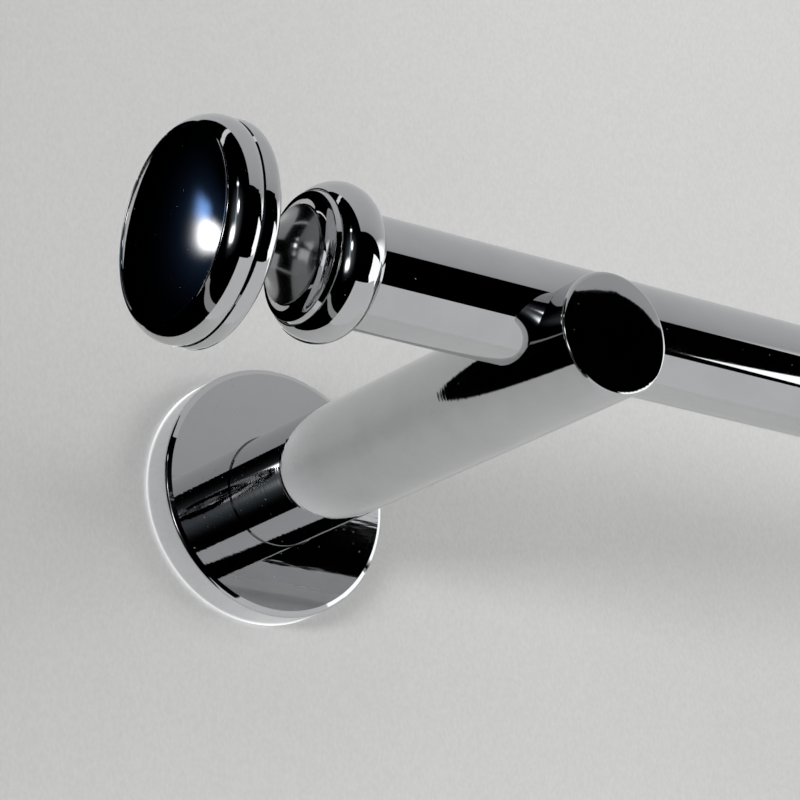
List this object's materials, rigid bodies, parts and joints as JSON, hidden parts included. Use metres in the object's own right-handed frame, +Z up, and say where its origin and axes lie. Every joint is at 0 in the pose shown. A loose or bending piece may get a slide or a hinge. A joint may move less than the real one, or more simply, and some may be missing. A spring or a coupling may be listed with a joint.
{
  "type": "wall rail",
  "caption": "Chrome wall rail: round tube in open saddles on two straight arms with sliding round roses, and a beaded collar, waisted neck and domed disc finial at each end.",
  "frame": {"origin": "on the wall plane, at the centre of the left bracket, on its arm's axis", "axes": "+X along the rail, -Y out of the wall into the room, +Z up"},
  "size_m": [0.626, 0.1654, 0.0716],
  "materials": {
    "chrome": "polished plate with fine polishing marks",
    "zinc_steel": "bright zinc plated steel",
    "screw_steel": "dark stainless steel",
    "brass": "turned brass",
    "nylon": "natural moulded nylon",
    "rubber": "matt black rubber"
  },
  "bodies": {
    "wall_frame": {"arm_screws": "screw_steel", "arm_dowels": "zinc_steel", "left_wall_gasket": "rubber", "left_base_flange": "zinc_steel", "left_rose_ring": "rubber", "left_arm": "chrome", "left_arm_insert": "brass", "right_wall_gasket": "rubber", "right_base_flange": "zinc_steel", "right_rose_ring": "rubber", "right_arm": "chrome", "right_arm_insert": "brass"},
    "left_rose": {"left_rose": "chrome"},
    "right_rose": {"right_rose": "chrome"},
    "rail": {"rail_tube": "chrome", "left_end_plug": "nylon", "left_collar": "chrome", "right_end_plug": "nylon", "right_collar": "chrome"},
    "left_finial": {"left_neck": "chrome", "left_finial_stud": "zinc_steel", "left_knob_back": "chrome", "left_knob_rim": "chrome", "left_knob_face": "chrome", "left_knob_nut": "zinc_steel"},
    "right_finial": {"right_neck": "chrome", "right_finial_stud": "zinc_steel", "right_knob_back": "chrome", "right_knob_rim": "chrome", "right_knob_face": "chrome", "right_knob_nut": "zinc_steel"},
    "left_lock_screw": {"left_lock_screw": "screw_steel"},
    "right_lock_screw": {"right_lock_screw": "screw_steel"}
  },
  "joints": [
    {"name": "rail_slide", "type": "slide", "parent": "wall_frame", "child": "rail", "axis": [1, 0, 0], "range_m": [-0.045, 0.045]},
    {"name": "left_rose_slide", "type": "slide", "parent": "wall_frame", "child": "left_rose", "axis": [0, -1, 0], "range_m": [0, 0.103]},
    {"name": "right_rose_slide", "type": "slide", "parent": "wall_frame", "child": "right_rose", "axis": [0, -1, 0], "range_m": [0, 0.103]},
    {"name": "left_finial_turn", "type": "hinge", "parent": "rail", "child": "left_finial", "pos_m": [-0.07, -0.1385, 0.0097], "axis": [-1, 0, 0], "continuous": true},
    {"name": "right_finial_turn", "type": "hinge", "parent": "rail", "child": "right_finial", "pos_m": [0.47, -0.1385, 0.0097], "axis": [1, 0, 0], "continuous": true},
    {"name": "left_lock_screw_travel", "type": "slide", "parent": "wall_frame", "child": "left_lock_screw", "axis": [0, 0.8192, 0.5736], "range_m": [0, 0.004]},
    {"name": "right_lock_screw_travel", "type": "slide", "parent": "wall_frame", "child": "right_lock_screw", "axis": [0, 0.8192, 0.5736], "range_m": [0, 0.004]}
  ]
}
